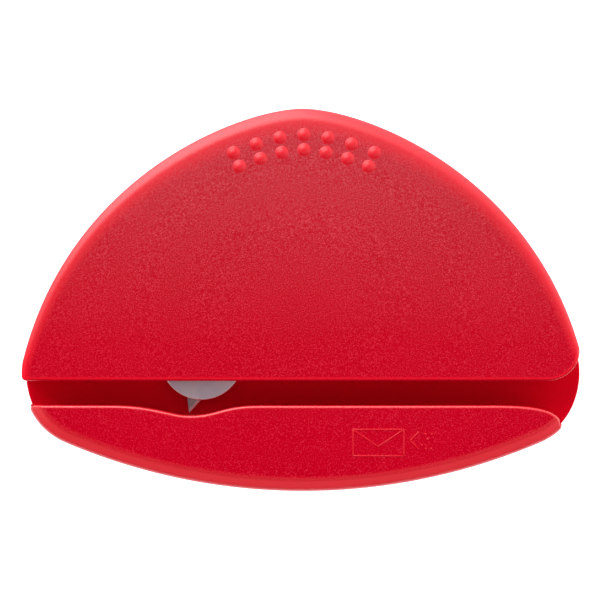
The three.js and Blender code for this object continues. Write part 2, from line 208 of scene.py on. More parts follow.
# Colours are linear. The deep and the dark ones are the low end of each surface's cloudy variation.
RED_FACE = (0.56, 0.0003, 0.014)
RED_DEEP = (0.53, 0.0002, 0.012)
# Smooth plastic is painted much lighter than the grained face: painted light on the shoulders, lips, studs and
# back.
RED_SMOOTH_LIT = (0.98, 0.001, 0.02)
RED_SMOOTH_LIT_DEEP = (0.95, 0.0008, 0.018)
# Painted glints: the lighter colour that the grain's peaks take.
RED_PAINTED_GLINT = (0.74, 0.002, 0.03)
RED_INSIDE = (0.73, 0.0001, 0.014)
STEEL_DARK = (0.84, 0.76, 0.9)
STEEL_LIGHT = (0.98, 0.93, 1)
# Painted highlight on the steels' rounded rims and the blade's bevel: nearly white.
STEEL_EDGE_HIGHLIGHT = (1, 0.95, 1)
BLADE_DARK = (0.3, 0.21, 0.23)
BLADE_LIGHT = (0.55, 0.4, 0.43)

# The plastic's noises, in grains per metre, the depths of their bumps, and the parts of a noise's range used.
FINE_GRAIN = 5000
CLUMPS = 3400
FLOW_LINES = 300
FLOW_STRETCH = (0.3, 1, 1)
CLOUDS = 55
PIT_DEPTH = 0.032 * MM
SWELL_DEPTH = 0.01 * MM
FLOW_DEPTH = 0.004 * MM
MIDDLE = (0.35, 0.65)
WIDE = (0.3, 0.7)
PEAKS = (0.5, 0.68)
SMOOTH_ROUGHNESS = 0.4
GRAIN_ROUGHNESS = 0.27
ROUGHNESS_SPREAD = 0.03
GLOSS_SPREAD = (-0.8, 0.4)
SPARKLE = 0.5

# The steels' brush lines and clouding.
BRUSH_LINES = 5200
BRUSH_STRETCH = (1, 0.02, 1)
STEEL_CLOUDS = 260
LINE_SHARE, CLOUD_SHARE = 0.15, 0.85
LINE_DEPTH = 0.001 * MM
CLOUD_DEPTH = 0.01 * MM
DISC_ROUGHNESS = 0.36
BLADE_ROUGHNESS = 0.3
EDGE_HIGHLIGHT_METALLIC = 0.15

# The room's light. Walls turn into ceiling over CEILING_RISE and the front wall darkens over FRONT_FADE,
# both as parts of a unit direction.
WALL_LIGHT = 0.85
CEILING_LIGHT = 0.25
CEILING_RISE = (0.4, 0.97)
FRONT_SHARE = 0.05
FRONT_FADE = (-0.5, -0.1)
LEFT_SHARE, RIGHT_SHARE = 0.9, 1.5
KEY_AT = (-0.3, 0.58, 0.5)
KEY_SIZE = (0.8, 0.75)
KEY_POWER = 5.1
FILL_AT = (0.2, -0.42, 0.68)
FILL_SIZE = (1.1, 0.5)
FILL_POWER = 2.6

TABLE_HALF = 4
TABLE_DROP = 0.02 * MM
TABLE_GREY = 0.8
TABLE_ROUGHNESS = 0.9

CAMERA_OVER = (-0.46 * MM, -0.015 * MM)
CAMERA_DISTANCE = 505 * MM
CAMERA_LENS = 186.2
CAMERA_SENSOR = 36
CAMERA_CLIP = (0.05, 20)


# ---------------------------------------------------------------- lines in the plane


def bezier(a, b, c, d, count):
    """Points along a cubic curve."""
    t = np.linspace(0, 1, count)[:, None]
    a, b, c, d = (np.array(p, float) for p in (a, b, c, d))
    return a * (1 - t) ** 3 + 3 * b * t * (1 - t) ** 2 + 3 * c * t**2 * (1 - t) + d * t**3


def arc(centre, radius, start, end, count):
    """Points along an arc between two angles in degrees."""
    turn = np.radians(np.linspace(start, end, count))
    return np.array(centre) + radius * np.column_stack([np.cos(turn), np.sin(turn)])


def along(line):
    """Length from a line's start to each of its points."""
    return np.concatenate([[0], np.cumsum(np.linalg.norm(np.diff(line, axis=0), axis=1))])


def stretch(line, start, end, step=OUTLINE_STEP):
    """The part of a line between two lengths along it, in even steps."""
    lengths = along(line)
    count = max(2, round((end - start) / step) + 1)
    at = np.linspace(start, end, count)
    return np.column_stack([np.interp(at, lengths, line[:, axis]) for axis in (0, 1)])


def joined(*parts):
    """Lines that meet end to end as one line."""
    return np.vstack([parts[0], *(part[1:] for part in parts[1:])])


def even(line, step=OUTLINE_STEP):
    return stretch(line, 0, along(line)[-1], step)


def closed_loop(parts, rounds):
    """Lines that meet end to end as one closed loop. Each meeting point is rounded by its own distance."""
    trimmed = []
    for i, part in enumerate(parts):
        trimmed.append(stretch(part, rounds[i - 1], along(part)[-1] - rounds[i]))
    loop = []
    for i, part in enumerate(trimmed):
        follower = trimmed[(i + 1) % len(parts)]
        corner = parts[i][-1]
        loop.extend(part)
        if rounds[i]:
            steps = max(3, round(2 * rounds[i] / CORNER_STEP))
            t = np.linspace(0, 1, steps + 1)[1:-1, None]
            loop.extend(part[-1] * (1 - t) ** 2 + 2 * corner * t * (1 - t) + follower[0] * t**2)
    loop = np.array(loop)
    moved = np.linalg.norm(loop - np.roll(loop, 1, axis=0), axis=1)
    return loop[moved > SHORTEST_STEP]


def distance(points, line, closed=False):
    """Distance from each point to the nearest place on a line."""
    starts = line if closed else line[:-1]
    steps = (np.roll(line, -1, axis=0) - line) if closed else np.diff(line, axis=0)
    nearest = []
    for some in np.array_split(points, max(1, len(points) // POINTS_AT_A_TIME)):
        offset = some[:, None] - starts
        share = np.clip((offset * steps).sum(2) / (steps**2).sum(1), 0, 1)
        nearest.append(np.linalg.norm(offset - share[..., None] * steps, axis=2).min(1))
    return np.concatenate(nearest)


def inside(points, loop):
    """Which points lie inside a closed loop, by counting crossings to their right."""
    x, y = points[:, 0, None], points[:, 1, None]
    ax, ay = loop.T
    bx, by = np.roll(loop, -1, axis=0).T
    spans = (ay > y) != (by > y)
    slope = (bx - ax) / np.where(by == ay, 1, by - ay)
    return (spans & (x < ax + (y - ay) * slope)).sum(1) % 2 == 1


def inward(line, closed=True):
    """Unit normals left of a line's direction of travel, which point into a counter-clockwise loop."""
    tangent = np.roll(line, -1, axis=0) - np.roll(line, 1, axis=0)
    if not closed:
        tangent[0] = line[1] - line[0]
        tangent[-1] = line[-1] - line[-2]
    tangent /= np.linalg.norm(tangent, axis=1)[:, None]
    return np.column_stack([-tangent[:, 1], tangent[:, 0]])


# ---------------------------------------------------------------- the body's lines


def right_side():
    """Right half of the outline, from the middle of the keel up to the finger rest."""
    centre = (0, KEEL_RADIUS - HALF_HEIGHT)
    turn = math.asin(KEEL_ARC_X / KEEL_RADIUS)
    keel = arc(centre, KEEL_RADIUS, -90, -90 + math.degrees(turn), KEEL_STEPS)
    lean = np.array([math.sin(FLANK_LEAN), -math.cos(FLANK_LEAN)])
    leave = keel[-1] + KEEL_TANGENT * np.array([math.cos(turn), math.sin(turn)])
    end = bezier(keel[-1], leave, FLANK + FLANK_TANGENT_DOWN * lean, FLANK, END_STEPS)
    leave_flank = FLANK - FLANK_TANGENT_UP * lean
    dome = bezier(FLANK, leave_flank, (TOP_TANGENT, HALF_HEIGHT), (0, HALF_HEIGHT), DOME_STEPS)
    side = np.vstack([keel, end[1:], dome[1:]])
    side[:, 0] *= HALF_WIDTH / side[:, 0].max()
    return side


SIDE = right_side()
OUTLINE = np.vstack([SIDE, SIDE[-2:0:-1] * (-1, 1)])


def side_between(low_y, high_y, mirrored=False):
    """The outline's right side, or its mirror image, between two heights, going up."""
    lengths = along(SIDE)
    start, end = np.interp([low_y, high_y], SIDE[:, 1], lengths)
    return stretch(SIDE, start, end) * ((-1, 1) if mirrored else (1, 1))


def side_point(y, sign):
    """The outline's point at one height, on the right for sign 1 and on the left for -1."""
    return np.array([sign * np.interp(y, SIDE[:, 1], SIDE[:, 0]), y])


def upper_lip_parts():
    """The dome's edge of the slot from left to right: before the window, along it, and on round the mouth."""
    before, after = ((x, SLOT_TOP) for x in WINDOW_X)
    corner = bezier(
        MOUTH,
        (MOUTH[0] + MOUTH_ALONG, SLOT_TOP),
        (MOUTH_END[0], MOUTH_END[1] - MOUTH_STEEP),
        MOUTH_END,
        LIP_STEPS,
    )
    meets = side_point(MOUTH_END[1] + LIP_TURN, 1)
    return (
        even(np.array([side_point(SLOT_TOP, -1), before])),
        even(np.array([before, after])),
        even(np.vstack([[after], corner, [meets]])),
    )


def lower_lip():
    """The keel's edge of the slot, from the left side past the disc's dip to the falling right end."""
    low = SLOT_BOTTOM - DIP_DEPTH
    down = bezier(
        (DIP_FROM, SLOT_BOTTOM),
        (DIP_FROM + DIP_LEAVE, SLOT_BOTTOM),
        (DIP_LOW - DIP_ARRIVE, low),
        (DIP_LOW, low),
        LIP_STEPS,
    )
    up = bezier(
        (DIP_LOW, low),
        (DIP_LOW + DIP_PART, low),
        (DIP_TO - DIP_REJOIN, SLOT_BOTTOM),
        (DIP_TO, SLOT_BOTTOM),
        LIP_STEPS,
    )
    fall = bezier(
        LIP_FALL,
        (LIP_FALL[0] + LIP_FALL_ALONG, SLOT_BOTTOM),
        (LIP_FALL_END[0], LIP_FALL_END[1] + LIP_FALL_STEEP),
        LIP_FALL_END,
        LIP_STEPS,
    )
    meets = side_point(LIP_FALL_END[1] - LIP_TURN, 1)
    return even(np.vstack([side_point(SLOT_BOTTOM, -1), down, up[1:], fall, meets]))


UPPER_LIP_PARTS = upper_lip_parts()
UPPER_LIP = joined(*UPPER_LIP_PARTS)
LOWER_LIP = lower_lip()


def dome_loop():
    """The dome cover's edge: along the slot and back over the finger rest."""
    parts = [
        UPPER_LIP,
        side_between(UPPER_LIP[-1][1], HALF_HEIGHT),
        side_between(SLOT_TOP, HALF_HEIGHT, mirrored=True)[::-1],
    ]
    return closed_loop(parts, (0, 0, DOME_CORNER))


def keel_loop():
    """The keel cover's edge: up the right side, along the slot and down round the keel."""
    parts = [
        side_between(-HALF_HEIGHT, LOWER_LIP[-1][1]),
        LOWER_LIP[::-1],
        side_between(-HALF_HEIGHT, SLOT_BOTTOM, mirrored=True)[::-1],
    ]
    return closed_loop(parts, (*KEEL_CORNERS, 0))


# ---------------------------------------------------------------- heights


def face_height(points):
    """The crowned face, before its shoulder and lips are rounded off."""
    x, y = points.T
    return THICKNESS - CROWN_X * (x / HALF_WIDTH) ** 2 - CROWN_Y * (y / HALF_HEIGHT) ** 2


def shoulder_share(points):
    """The shoulder's width as a share of its full width: all of it at the finger rest and round the keel."""
    y = points[:, 1]
    up_dome = (y - SLOT_TOP) / (HALF_HEIGHT - SLOT_TOP)
    across_slot = (SLOT_TOP - y) / (SLOT_TOP - SLOT_BOTTOM)
    return NARROWEST + (1 - NARROWEST) * np.clip(np.maximum(up_dome, across_slot), 0, 1) ** TAPER


def shoulder_drop(edge_distance, corner, band, roll, slope):
    """How far a full-width shoulder lies under the face, by the distance from the outline."""
    corner_radius = corner / math.sin(slope)
    roll_radius = roll / (math.sin(ROLL_END) - math.sin(slope))
    into_corner = np.clip(SHOULDER - edge_distance, 0, corner)
    into_roll = np.clip(roll - edge_distance, 0, roll)
    turn = np.arcsin(math.sin(slope) + into_roll / roll_radius)
    drop = corner_radius - np.sqrt(corner_radius**2 - into_corner**2)
    drop += np.clip(roll + band - edge_distance, 0, band) * math.tan(slope)
    return drop + roll_radius * (math.cos(slope) - np.cos(turn))


def round_drop(edge_distance, radius):
    """How far a quarter-round edge lies under its face."""
    reach = np.clip(radius - edge_distance, 0, radius)
    return radius - np.sqrt(radius**2 - reach**2)


# ---------------------------------------------------------------- meshes


def weld(mesh):
    """Joins the vertices that rows of one piece share."""
    work = bmesh.new()
    work.from_mesh(mesh)
    bmesh.ops.remove_doubles(work, verts=work.verts, dist=WELD)
    work.to_mesh(mesh)
    work.free()


class Skin:
    """Vertices, faces and a finish for each vertex of one piece."""

    def __init__(self):
        self.vertices = []
        self.finish = []
        self.faces = []

    def add(self, points, heights, finish=SMOOTH):
        first = len(self.vertices)
        heights = np.broadcast_to(heights, len(points))
        self.vertices.extend((x, y, z) for (x, y), z in zip(points, heights))
        self.finish.extend(np.broadcast_to(finish, (len(points), 3)))
        return list(range(first, first + len(points)))

    def bridge(self, lower, upper, closed=True):
        """Quads between two rows of vertices. They face right of the rows' direction of travel."""
        count = len(lower)
        for i in range(count if closed else count - 1):
            j = (i + 1) % count
            self.faces.append((lower[i], lower[j], upper[j], upper[i]))

    def make(self, name, material, sharp_angle=50):
        mesh = bpy.data.meshes.new(name)
        mesh.from_pydata(self.vertices, [], self.faces)
        finish = mesh.attributes.new("finish", "FLOAT_VECTOR", "POINT")
        finish.data.foreach_set("vector", np.ravel(self.finish))
        mesh.validate()
        weld(mesh)
        mesh.shade_smooth()
        mesh.set_sharp_from_angle(angle=math.radians(sharp_angle))
        mesh.materials.append(material)
        piece = bpy.data.objects.new(name, mesh)
        bpy.context.scene.collection.objects.link(piece)
        return piece


def fill_points(loop, rows, grid):
    """Points inside a loop: rows that follow its edge, then an even grid."""
    normals = inward(loop)
    found = []
    for row in rows:
        moved = loop + normals * row
        found.append(moved[distance(moved, loop, closed=True) > ROW_MARGIN * row])
    low, high = loop.min(0), loop.max(0)
    across = np.arange(low[0], high[0], grid)
    upward = np.arange(low[1], high[1], grid)
    crossings = np.stack(np.meshgrid(across, upward), -1).reshape(-1, 2)
    crossings = crossings[inside(crossings, loop)]
    found.append(crossings[distance(crossings, loop, closed=True) > rows[-1] + grid / 2])
    return np.vstack(found)


def triangulated(loop, inner):
    """A flat mesh of a loop and the points inside it: points, triangles, and each loop point's index."""
    points = np.vstack([loop, inner]) / MM
    count = len(loop)
    edges = [(i, (i + 1) % count) for i in range(count)]
    corners = [tuple(p) for p in points]
    flat, _, triangles, sources, _, _ = delaunay_2d_cdt(corners, edges, [], INSIDE_ONLY, SAME_POINT)
    loop_index = [None] * count
    for index, origins in enumerate(sources):
        for origin in origins:
            if origin < count:
                loop_index[origin] = index
    return np.array([tuple(p) for p in flat]) * MM, triangles, loop_index


def add_cap(skin, loop, height, upward):
    """A flat, dull cap over a closed loop that may bend in and out."""
    flat, triangles, _ = triangulated(loop, np.empty((0, 2)))
    cap = skin.add(flat, height, IN_SLOT)
    for triangle in triangles:
        corners = tuple(cap[i] for i in triangle)
        skin.faces.append(corners if upward else corners[::-1])


def cover_skin(name, loop, lip, lip_round, lip_grain, shoulder, shoulder_grain, material):
    """A front cover: its crowned face, shoulder, rounded slot lip, side walls and underside."""
    flat, triangles, rim = triangulated(loop, fill_points(loop, np.array(EDGE_ROWS) * MM, FACE_GRID))
    from_outline = distance(flat, OUTLINE, closed=True)
    from_lip = distance(flat, lip)
    share = shoulder_share(flat)
    heights = face_height(flat) - round_drop(from_lip, lip_round)
    heights -= share * shoulder_drop(from_outline / share, *shoulder)
    grain = np.interp(from_outline / share / SHOULDER, *shoulder_grain)
    grain *= np.interp(from_lip / lip_round, *lip_grain)
    face_gloss = np.interp(flat[:, 1], *FACE_GLOSS)
    smooth_gloss = np.interp(flat[:, 1], *SMOOTH_GLOSS)
    gloss = face_gloss + (smooth_gloss - face_gloss) * (1 - grain)
    skin = Skin()
    face = skin.add(flat, heights, np.column_stack([grain, gloss, 0 * grain]))
    skin.faces.extend(tuple(face[i] for i in triangle) for triangle in triangles)
    top = [face[i] for i in rim]
    foot_z = PARTING_Z + PARTING_GAP
    wall = skin.add(loop, foot_z + PARTING_ROUND, IN_SLOT)
    sole = loop + inward(loop) * PARTING_ROUND
    skin.bridge(wall, top)
    skin.bridge(skin.add(sole, foot_z, IN_SLOT), wall)
    add_cap(skin, sole, foot_z, upward=False)
    return skin.make(name, material)


def rear_skin(name, material):
    """The rear shell: flat back, rounded edge, side wall, slot floor and walls, and the disc's window."""
    slot_right = side_between(LOWER_LIP[-1][1], UPPER_LIP[-1][1])
    slot_left = side_between(SLOT_BOTTOM, SLOT_TOP, mirrored=True)[::-1]
    dome_side = joined(
        side_between(UPPER_LIP[-1][1], HALF_HEIGHT),
        side_between(SLOT_TOP, HALF_HEIGHT, mirrored=True)[::-1],
    )
    keel_side = joined(
        side_between(-HALF_HEIGHT, SLOT_BOTTOM, mirrored=True)[::-1],
        side_between(-HALF_HEIGHT, LOWER_LIP[-1][1]),
    )
    skin = Skin()
    add_back(skin, joined(slot_right, dome_side, slot_left, keel_side)[:-1])
    add_rim(skin, dome_side, UPPER_LIP)
    add_rim(skin, keel_side, LOWER_LIP[::-1])
    floor, rim = add_floor(skin, joined(LOWER_LIP, slot_right, UPPER_LIP[::-1], slot_left)[:-1])
    lower = [floor[i] for i in rim[: len(LOWER_LIP)]]
    add_slot_wall(skin, lower[::-1], LOWER_LIP[::-1], PARTING_Z)
    first = len(LOWER_LIP) + len(slot_right) - 2
    upper = [floor[i] for i in rim[first : first + len(UPPER_LIP)]][::-1]
    start = 0
    for part, top_z in zip(UPPER_LIP_PARTS, (PARTING_Z, WINDOW_Z[0], PARTING_Z)):
        add_slot_wall(skin, upper[start : start + len(part)], part, top_z)
        start += len(part) - 1
    add_window(skin)
    return skin.make(name, material)


def add_slot_wall(skin, foot, line, top_z):
    """A wall of the slot on the floor's edge. Its low middle row keeps the fillet's shading off the wall."""
    middle = skin.add(line, SLOT_FLOOR_Z + FLOOR_FILLET + SHADING_ROW, IN_SLOT)
    skin.bridge(foot, middle, closed=False)
    skin.bridge(middle, skin.add(line, top_z, IN_SLOT), closed=False)


def add_back(skin, outline):
    """The flat back and the rounded edge round it, up to the outer edge of the slot's floor."""
    normals = inward(outline)
    rows = [
        skin.add(outline + normals * BACK_ROUND * (1 - math.sin(turn)), BACK_ROUND * (1 - math.cos(turn)))
        for turn in np.radians(np.linspace(0, 90, BACK_STEPS))
    ]
    rows.append(skin.add(outline, SLOT_FLOOR_Z - FLOOR_EDGE_ROUND - SHADING_ROW))
    rows.append(skin.add(outline, SLOT_FLOOR_Z - FLOOR_EDGE_ROUND))
    for lower, upper in zip(rows, rows[1:]):
        skin.bridge(lower, upper)
    skin.faces.append(tuple(rows[0][::-1]))


def add_rim(skin, side, lip):
    """The side wall above the slot's floor, and the flat top that a cover sits on."""
    low = skin.add(side, SLOT_FLOOR_Z - FLOOR_EDGE_ROUND)
    high = skin.add(side, PARTING_Z - PARTING_ROUND)
    crest = side + inward(side, closed=False) * PARTING_ROUND
    skin.bridge(low, high, closed=False)
    skin.bridge(high, skin.add(crest, PARTING_Z), closed=False)
    add_cap(skin, np.vstack([crest, lip]), PARTING_Z, upward=True)


def add_floor(skin, loop):
    """The slot's floor, filleted into its walls and rounded off at its two open ends."""
    rows = np.array(FLOOR_ROWS) * MM
    flat, triangles, rim = triangulated(loop, fill_points(loop, rows, FLOOR_GRID))
    from_wall = np.minimum(distance(flat, UPPER_LIP), distance(flat, LOWER_LIP))
    heights = SLOT_FLOOR_Z + round_drop(from_wall, FLOOR_FILLET)
    heights -= round_drop(distance(flat, OUTLINE, closed=True), FLOOR_EDGE_ROUND)
    floor = skin.add(flat, heights, IN_SLOT)
    skin.faces.extend(tuple(floor[i] for i in triangle) for triangle in triangles)
    return floor, rim


def add_window(skin):
    """The recess behind the slot's upper wall that the disc and the blade come out of."""
    (left, right), (low, high) = WINDOW_X, WINDOW_Z
    front, back = SLOT_TOP, SLOT_TOP + WINDOW_DEPTH
    corners = np.array([(left, front), (right, front), (right, back), (left, back)])
    ceiling_gap = 0.01 * MM
    sill = skin.add(corners, low)
    ceiling = skin.add(corners, high - ceiling_gap)
    skin.faces.append(tuple(sill))
    skin.faces.append(tuple(ceiling[::-1]))
    for i in (1, 2, 3):
        j = (i + 1) % 4
        skin.faces.append((sill[j], sill[i], ceiling[i], ceiling[j]))


# ---------------------------------------------------------------- raised details


def add_revolved(skin, x, y, profile, sides, finish):
    """A small form of revolution on the face, from (radius, height) pairs that end on its axis."""
    turns = np.linspace(0, 2 * math.pi, sides, endpoint=False)
    circle = np.column_stack([np.cos(turns), np.sin(turns)])
    base = np.array([(x, y)])
    rows = []
    for radius, height in profile[:-1]:
        points = base + radius * circle
        rows.append(skin.add(points, face_height(points) + height, finish))
    for lower, upper in zip(rows, rows[1:]):
        skin.bridge(lower, upper)
    tip = skin.add(base, face_height(base) + profile[-1][1], finish)[0]
    last = rows[-1]
    skin.faces.extend((last[i], last[(i + 1) % sides], tip) for i in range(sides))


def stud_places():
    """Centres of the studs. Each row runs inside the outline, in even steps from its middle."""
    top = len(SIDE) - 1
    places = []
    for inset, step in STUD_ROWS:
        row = (OUTLINE + inward(OUTLINE) * inset)[top : top // 2 : -1]
        steps = step * np.arange(STUDS_PER_SIDE + 1)
        xs, ys = (np.interp(steps, along(row), row[:, axis]) for axis in (0, 1))
        places += [(STUD_SHIFT + x, y) for x, y in zip(xs, ys)]
        places += [(STUD_SHIFT - x, y) for x, y in zip(xs[1:], ys[1:])]
    return places


def grip_studs(name, material):
    """Two curved rows of round studs near the finger rest, each with a small fillet at its root."""
    rim = math.asin(STUD_RADIUS / STUD_BALL)
    turns = np.linspace(STUD_RIM * rim, 0, STUD_STEPS)
    ball = [(STUD_BALL * math.sin(a), STUD_BALL * (math.cos(a) - math.cos(rim))) for a in turns]
    root = [(STUD_RADIUS + STUD_ROOT, -SINK), (STUD_RADIUS + STUD_ROOT_IN, STUD_ROOT_RISE)]
    skin = Skin()
    for x, y in stud_places():
        add_revolved(skin, x, y, root + ball, STUD_SIDES, STUD)
    return skin.make(name, material, sharp_angle=80)


def add_stroke(skin, start, end):
    """A raised line on the face with sloping sides and ends."""
    start, end = np.array(start), np.array(end)
    reach = (end - start) / np.linalg.norm(end - start)
    across = np.array([-reach[1], reach[0]])
    half = MARK_WIDTH / 2
    ridge = STROKE_RIDGE * half
    sides = np.array([-half, -ridge, ridge, half])
    lift = np.array([-MARK_HEIGHT, MARK_HEIGHT, MARK_HEIGHT, -MARK_HEIGHT])
    middles = [start - reach * half]
    middles += [start + (end - start) * share for share in np.linspace(0, 1, STROKE_STEPS)]
    middles += [end + reach * half]
    rows = []
    for i, middle in enumerate(middles):
        at_end = i in (0, len(middles) - 1)
        points = middle + sides[:, None] * across * (STROKE_END if at_end else 1)
        rows.append(skin.add(points, face_height(points) + (-MARK_HEIGHT if at_end else lift), STROKE))
    for lower, upper in zip(rows, rows[1:]):
        skin.bridge(upper[::-1], lower[::-1], closed=False)


def envelope_mark(name, material):
    """The raised mark on the keel: an envelope, an arrowhead towards the slot's blade and a few specks."""
    corners = [(MARK_LEFT, MARK_LOW), (MARK_RIGHT, MARK_LOW), (MARK_RIGHT, MARK_HIGH), (MARK_LEFT, MARK_HIGH)]
    skin = Skin()
    for i, corner in enumerate(corners):
        add_stroke(skin, corner, corners[(i + 1) % 4])
    x, y = MARK_ARROW
    for side in (-1, 1):
        flap_corner = (MARK_RIGHT if side > 0 else MARK_LEFT, MARK_HIGH)
        add_stroke(skin, flap_corner, MARK_FLAP)
        add_stroke(skin, (x + MARK_ARROW_REACH, y + side * MARK_ARROW_REACH), MARK_ARROW)
    crest = (SPECK_CREST[0] * SPECK_RADIUS, SPECK_CREST[1] * MARK_HEIGHT)
    dome = [(SPECK_RADIUS, -SINK), crest, (0, MARK_HEIGHT)]
    for speck_x, speck_y in MARK_SPECKS:
        add_revolved(skin, speck_x * MM, speck_y * MM, dome, SPECK_SIDES, STROKE)
    return skin.make(name, material, sharp_angle=80)


def guard_disc(name, material):
    """The steel washer with its two rims rounded off and carrying a painted highlight."""
    turns = np.radians(np.linspace(0, 90, DISC_EDGE_STEPS))
    rim = [(DISC_RADIUS - DISC_EDGE * (1 - math.cos(a)), DISC_EDGE * (1 - math.sin(a))) for a in turns]
    lower = [(DISC_HOLE, 0), (rim[-1][0] - EDGE_FADE, 0)] + rim[::-1]
    profile = lower + [(radius, DISC_THICKNESS - height) for radius, height in lower[::-1]]
    around = np.linspace(0, 2 * math.pi, DISC_SIDES, endpoint=False)
    circle = np.column_stack([np.cos(around), np.sin(around)])
    skin = Skin()
    rows = []
    for radius, height in profile:
        finish = EDGE_HIGHLIGHT if radius >= DISC_RADIUS - DISC_EDGE else SMOOTH
        rows.append(skin.add(np.array(DISC_CENTRE) + radius * circle, DISC_Z + height, finish))
    for lower_row, upper_row in zip(rows, rows[1:] + rows[:1]):
        skin.bridge(lower_row, upper_row)
    return skin.make(name, material, sharp_angle=40)


def cutter_blade(name, material):
    """The flat blade, one corner ground to a point, with a painted highlight on the bevel along the upper side
    of its edge.
    """
    foot = np.array(BLADE_TIP)
    shoulder = foot + BLADE_EDGE_LENGTH * np.array([math.cos(BLADE_EDGE_ANGLE), math.sin(BLADE_EDGE_ANGLE)])
    upward = np.array([-math.tan(BLADE_BACK_LEAN), 1])
    low_z, high_z = BLADE_Z
    steep = math.cos(BLADE_EDGE_ANGLE) * (1 + math.tan(BLADE_EDGE_ANGLE) * math.tan(BLADE_BACK_LEAN))
    bevel = upward * BLADE_BEVEL / steep
    fade = upward * (BLADE_BEVEL + EDGE_FADE) / steep
    edge = np.array([foot, shoulder])
    heads = edge + upward * (BLADE_TOP - edge[:, 1])[:, None]
    skin = Skin()
    cut = skin.add(edge, low_z, EDGE_HIGHLIGHT)
    crest = skin.add(edge + bevel, high_z, EDGE_HIGHLIGHT)
    inner = skin.add(edge + fade, high_z)
    top = skin.add(heads, high_z)
    base = skin.add(heads, low_z)
    skin.bridge(cut, crest, closed=False)
    skin.bridge(crest, inner, closed=False)
    skin.bridge(inner, top, closed=False)
    skin.bridge(top, base, closed=False)
    skin.bridge(base, cut, closed=False)
    skin.faces.append((base[0], top[0], inner[0], crest[0], cut[0])[::-1])
    skin.faces.append((base[1], top[1], inner[1], crest[1], cut[1]))
    return skin.make(name, material, sharp_angle=20)


# ---------------------------------------------------------------- finishes


def new_material(name):
    """A material with one shader, and its node tree."""
    material = bpy.data.materials.new(name)
    material.use_nodes = True
    tree = material.node_tree
    tree.nodes.clear()
    shader = tree.nodes.new("ShaderNodeBsdfPrincipled")
    output = tree.nodes.new("ShaderNodeOutputMaterial")
    tree.links.new(shader.outputs["BSDF"], output.inputs["Surface"])
    return material, tree, shader


def finish_parts(tree):
    """The three numbers of a piece's finish."""
    finish = tree.nodes.new("ShaderNodeAttribute")
    finish.attribute_name = "finish"
    split = tree.nodes.new("ShaderNodeSeparateXYZ")
    tree.links.new(finish.outputs["Vector"], split.inputs[0])
    return split.outputs


def noise(tree, scale, detail=2.0, stretch_by=(1, 1, 1)):
    """A noise value over the object, with about scale grains per metre."""
    place = tree.nodes.new("ShaderNodeTexCoord")
    mapping = tree.nodes.new("ShaderNodeMapping")
    texture = tree.nodes.new("ShaderNodeTexNoise")
    mapping.inputs["Scale"].default_value = stretch_by
    texture.inputs["Scale"].default_value = scale
    texture.inputs["Detail"].default_value = detail
    tree.links.new(place.outputs["Object"], mapping.inputs["Vector"])
    tree.links.new(mapping.outputs["Vector"], texture.inputs["Vector"])
    return texture.outputs["Fac"]


def maths(tree, operation, a, b):
    """One sum or product of two values. Either is a number or another node's output."""
    node = tree.nodes.new("ShaderNodeMath")
    node.operation = operation
    for socket, value in zip(node.inputs, (a, b)):
        if isinstance(value, (int, float)):
            socket.default_value = value
        else:
            tree.links.new(value, socket)
    return node.outputs[0]


def between(tree, value, low, high, to_low, to_high):
    """Maps a value from one range to another, held at its ends."""
    node = tree.nodes.new("ShaderNodeMapRange")
    tree.links.new(value, node.inputs["Value"])
    for name, number in zip(("From Min", "From Max", "To Min", "To Max"), (low, high, to_low, to_high)):
        node.inputs[name].default_value = number
    return node.outputs["Result"]


def mixed(tree, factor, first, second):
    """A colour between two others. Either is a colour or another node's output."""
    node = tree.nodes.new("ShaderNodeMix")
    node.data_type = "RGBA"
    tree.links.new(factor, node.inputs["Factor"])
    # The node has sockets for every data type. These are the colours'.
    for socket, value in ((node.inputs[6], first), (node.inputs[7], second)):
        if isinstance(value, tuple):
            socket.default_value = (*value, 1)
        else:
            tree.links.new(value, socket)
    return node.outputs[2]


def bumped(tree, shader, heights):
    """Bumps the shader by (height output, depth in metres) pairs, one on top of the other."""
    normal = None
    for height, depth in heights:
        bump = tree.nodes.new("ShaderNodeBump")
        bump.inputs["Distance"].default_value = depth
        tree.links.new(height, bump.inputs["Height"])
        if normal:
            tree.links.new(normal, bump.inputs["Normal"])
        normal = bump.outputs["Normal"]
    tree.links.new(normal, shader.inputs["Normal"])


